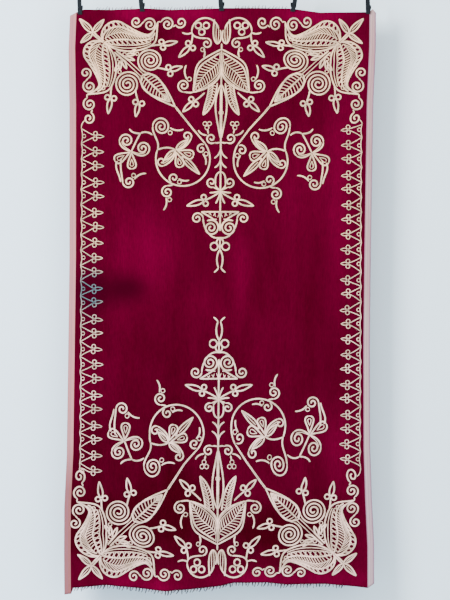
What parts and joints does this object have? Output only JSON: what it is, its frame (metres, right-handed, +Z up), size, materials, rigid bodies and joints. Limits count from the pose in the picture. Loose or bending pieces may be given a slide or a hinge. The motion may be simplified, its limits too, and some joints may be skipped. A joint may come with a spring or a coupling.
{
  "type": "braided velvet hanging panel with clips",
  "caption": "Tall crimson velvet panel with couched braid scrolls, side borders and frayed ends, hung from black spring clips.",
  "frame": {"origin": "middle of the panel's upper edge", "axes": "+Z up, the front faces -Y, +X to the viewer's right"},
  "size_m": [0.6279, 0.0119, 1.212],
  "materials": {
    "crimson_velvet": "pile",
    "tarnished_braid": "plaited",
    "frayed_thread": "loose thread",
    "black_plastic": "moulded"
  },
  "bodies": {
    "root": {"velvet_panel": "crimson_velvet", "braid_upper_left": "tarnished_braid", "braid_upper_right": "tarnished_braid", "braid_lower_left": "tarnished_braid", "braid_lower_right": "tarnished_braid", "braid_axis_upper": "tarnished_braid", "braid_axis_lower": "tarnished_braid", "border_left": "tarnished_braid", "border_right": "tarnished_braid", "fray_lower": "frayed_thread", "fray_upper_1": "frayed_thread", "fray_upper_2": "frayed_thread", "fray_upper_3": "frayed_thread", "clip_1_front": "black_plastic", "clip_1_rear": "black_plastic", "clip_2_front": "black_plastic", "clip_2_rear": "black_plastic", "clip_3_front": "black_plastic", "clip_3_rear": "black_plastic", "clip_4_front": "black_plastic", "clip_4_rear": "black_plastic", "clip_5_front": "black_plastic", "clip_5_rear": "black_plastic"}
  },
  "joints": []
}
